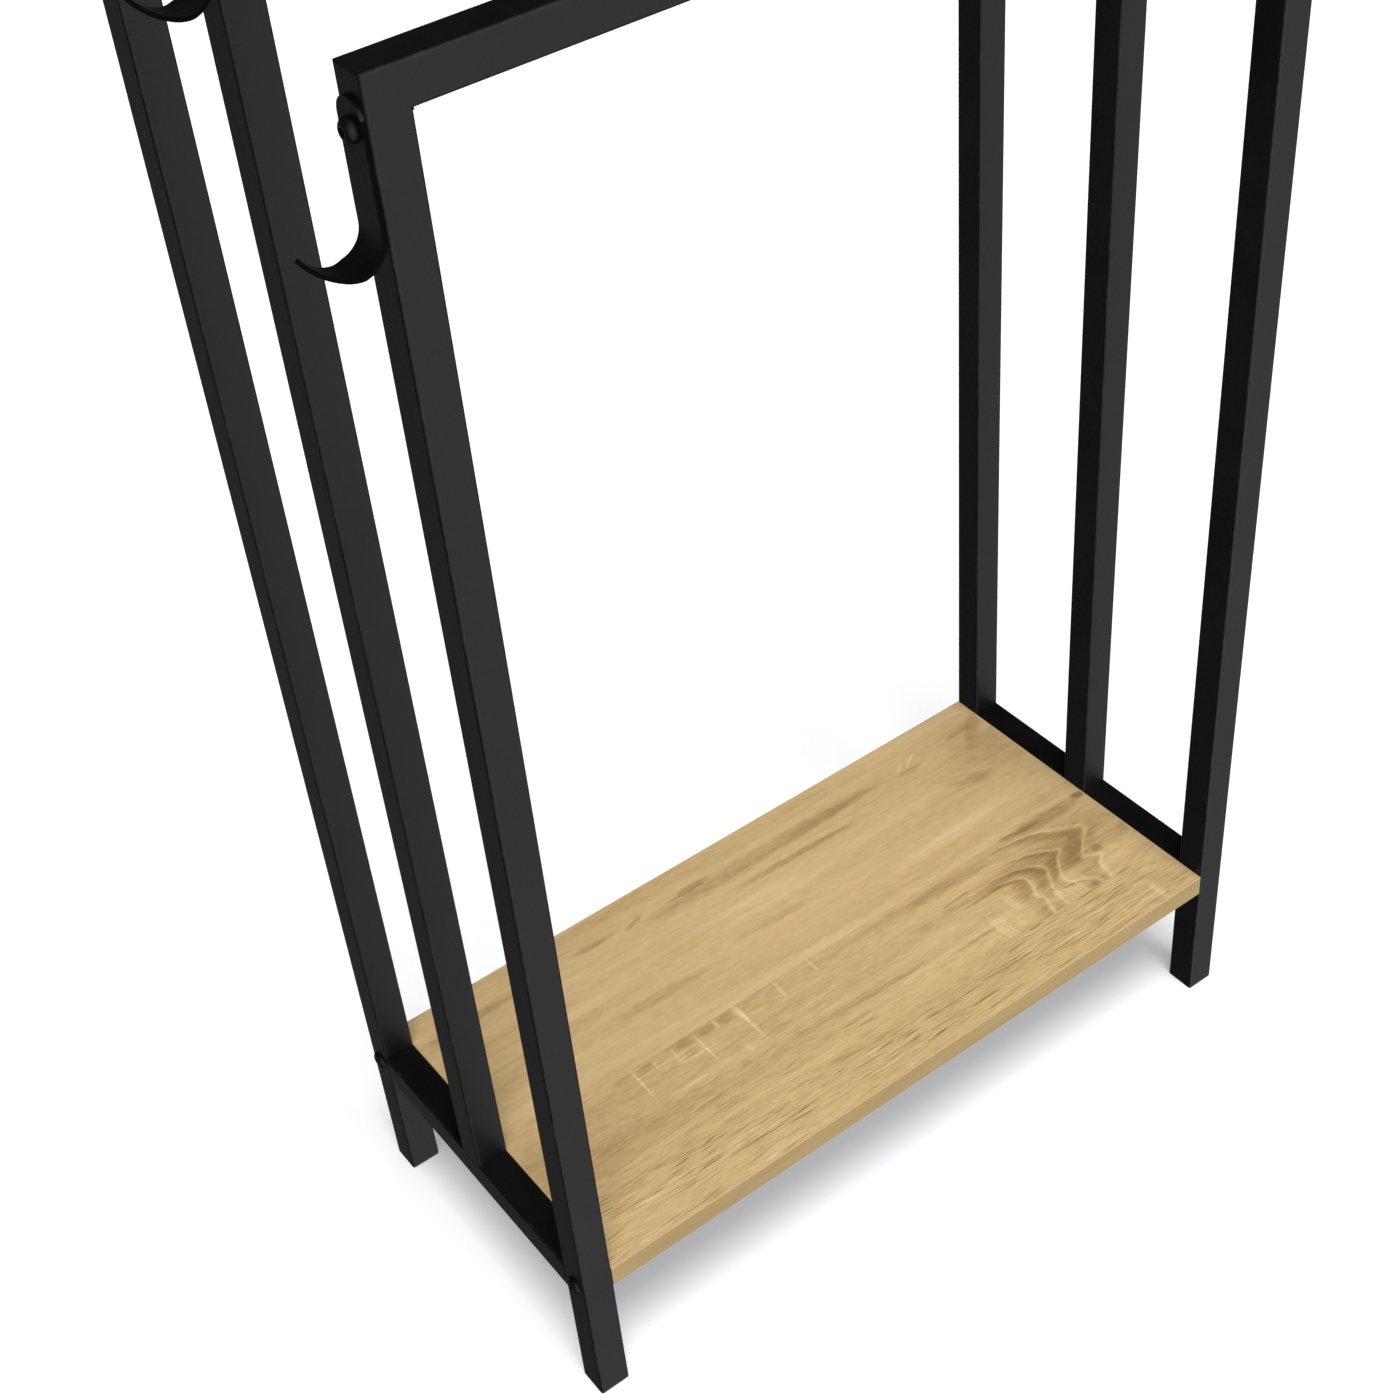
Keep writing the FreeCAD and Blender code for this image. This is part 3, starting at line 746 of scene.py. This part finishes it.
def make_beads():
    """The seams as edges, turned into beads and made one plain mesh."""
    group, sockets = bead_tree()
    seams = seam_edges()
    mesh = bpy.data.meshes.new("weld_seams")
    mesh.from_pydata([point for seam in seams for point in seam],
                     [(2 * i, 2 * i + 1) for i in range(len(seams))], [])
    source = bpy.data.objects.new("weld_seams", mesh)
    bpy.context.scene.collection.objects.link(source)
    modifier = source.modifiers.new("beads", "NODES")
    modifier.node_group = group
    for name, _, value in BEAD_INPUTS:
        modifier[sockets[name]] = value
    plain = bpy.data.meshes.new_from_object(source.evaluated_get(bpy.context.evaluated_depsgraph_get()))
    bpy.data.objects.remove(source)
    beads = bpy.data.objects.new("weld_beads", plain)
    bpy.context.scene.collection.objects.link(beads)
    print("weld beads:", len(seams), "seams,", len(plain.polygons), "faces")
    return beads


weld_beads = make_beads()
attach(weld_beads, BODY)

# %% [markdown]
# ## Floor
# The stand is shown on white paper that runs on without an edge. The paper glows a little, as on a light
# table, so that the shadow stays a soft grey. It is left out of reflections, so that the black faces keep
# their contrast.

# %% Floor
FLOOR_REACH = 14.0
FLOOR_CORNERS = 96
FLOOR_GLOW = 0.22
PAPER_WHITE = linear(246, 247, 248)
PAPER_SHADE = linear(243, 244, 245)
GLOW_COLOUR = (0.97, 0.99, 1.00, 1.0)


def make_floor():
    """A large round sheet of paper."""
    mesh = bpy.data.meshes.new("studio_floor")
    turns = [math.tau * i / FLOOR_CORNERS for i in range(FLOOR_CORNERS)]
    ring = [(FLOOR_REACH * math.cos(turn), FLOOR_REACH * math.sin(turn), 0) for turn in turns]
    mesh.from_pydata(ring, [], [tuple(range(FLOOR_CORNERS))])
    floor = bpy.data.objects.new("studio_floor", mesh)
    bpy.context.scene.collection.objects.link(floor)
    paper = Finish("floor_paper")
    colour = paper.mix(PAPER_WHITE, PAPER_SHADE, 0.5 + paper.noise(0.4, 2.0))
    mesh.materials.append(paper.shade(Base_Color=colour, Roughness=0.9, Specular_IOR_Level=0.0,
                                      Emission_Color=GLOW_COLOUR, Emission_Strength=FLOOR_GLOW))
    floor.visible_glossy = False
    floor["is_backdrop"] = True
    print("floor:", 2 * FLOOR_REACH, "m across")


make_floor()

# %% [markdown]
# ## Light
# The stand is black, so it is drawn by what it reflects. A bright, wide front and a darker back give the
# front faces their even grey and leave the tops and inner sides almost black. The Light Path node keeps
# these reflections apart from the light on matt surfaces and from the white that the camera sees. One broad
# sun stands in for a very large soft box hung high in front of the stand: its wide angle softens the shadow
# under the shelf until only the part close to the board stays grey.

# %% Studio
AMBIENT = 0.28                   # even light on matt surfaces
GLOSS_DARK = 0.02                # what a shiny surface sees all round it
GLOSS_FRONT = 2.48               # and what is added to that in front
GLOSS_BACK = 0.22                # and behind
SUN_POWER = 2.66
SUN_ANGLE = math.radians(26)
SUN_FROM = Vector((-0.08, -0.31, 1.0))
FRONT_DIRECTION = Vector((0.0, -0.98, 0.1)).normalized()
BACK_DIRECTION = Vector((-0.05, 0.85, -0.5)).normalized()


def make_world():
    """White to the camera, even for matt surfaces, bright in front and dark behind for reflections."""
    world = bpy.data.worlds.new("studio")
    bpy.context.scene.world = world
    world.use_nodes = True
    world.node_tree.nodes.clear()
    tree = Tree(world.node_tree)
    towards = tree.add("ShaderNodeTexCoord", out="Generated")
    frontness, backness = (
        tree.add("ShaderNodeVectorMath", {"operation": "DOT_PRODUCT"},
                 {0: towards, 1: tuple(direction)}, out="Value")
        for direction in (FRONT_DIRECTION, BACK_DIRECTION))
    gloss = GLOSS_DARK + GLOSS_FRONT * frontness.ramp(0.05, 1.0) + GLOSS_BACK * backness.ramp(0.6, 1.0)
    is_camera = tree.add("ShaderNodeLightPath", out="Is Camera Ray")
    is_glossy = Socket(tree, is_camera.socket.node.outputs["Is Glossy Ray"])
    strength = is_camera + (1 - is_camera) * (is_glossy * gloss + (1 - is_glossy) * AMBIENT)
    background = tree.add("ShaderNodeBackground", None, {"Color": (1, 1, 1, 1), "Strength": strength})
    tree.add("ShaderNodeOutputWorld", None, {"Surface": background})


def make_sun():
    """The soft box, high and a little in front."""
    light = bpy.data.lights.new("front_soft_box", "SUN")
    light.energy = SUN_POWER
    light.angle = SUN_ANGLE
    sun = bpy.data.objects.new("front_soft_box", light)
    sun.rotation_euler = (-SUN_FROM).to_track_quat("-Z", "Y").to_euler()
    sun.visible_glossy = False
    bpy.context.scene.collection.objects.link(sun)


make_world()
make_sun()
for name in nodes:
    if name.startswith(("shelf_board", "shelf_edge")):
        nodes[name].visible_glossy = False       # its warm light would turn the coat and the floor brown
        nodes[name].visible_diffuse = False
bpy.context.scene.view_settings.view_transform = "Standard"
print("light: sun", SUN_POWER, "and even light", AMBIENT)

# %% [markdown]
# ## Camera
# The camera stands a little left of the stand, above its top, and looks steeply down past the hook to the
# shelf. Its three turns are written as a heading, a dip and a roll, because those are what a person with a
# tripod would set.

# %% Camera
CAMERA_AT = Vector((-0.59536, -0.81632, 1.19612))
HEADING, DIP, ROLL = (math.radians(angle) for angle in (33.136, 40.528, -5.671))
LENS = 57.975
SENSOR = 36.0


def make_camera():
    """Turned by its heading, then its dip, then its roll."""
    camera = bpy.data.objects.new("camera", bpy.data.cameras.new("camera"))
    camera.data.lens = LENS
    camera.data.sensor_width = SENSOR
    camera.data.clip_start = 0.05
    camera.data.clip_end = 60
    turn = Matrix.Rotation(-HEADING, 4, "Z") @ Matrix.Rotation(math.pi / 2 - DIP, 4, "X")
    camera.matrix_world = Matrix.Translation(CAMERA_AT) @ turn @ Matrix.Rotation(ROLL, 4, "Z")
    bpy.context.scene.collection.objects.link(camera)
    bpy.context.scene.camera = camera
    print("camera: lens %.1f mm, %.2f m above the floor" % (LENS, CAMERA_AT.z))


make_camera()

# %% [markdown]
# ## Sizes, and the end
# The visual model has to stay inside the CAD model's box. The script ends by measuring the visual model's
# box and printing how far it grew beyond the CAD model's box.

# %% Sizes and finish
low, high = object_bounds()
growth = [round((new - old) / MM, 3) for new, old in zip((*low, *high), (*cad_low, *cad_high))]
print("visual box grew by", growth, "mm")
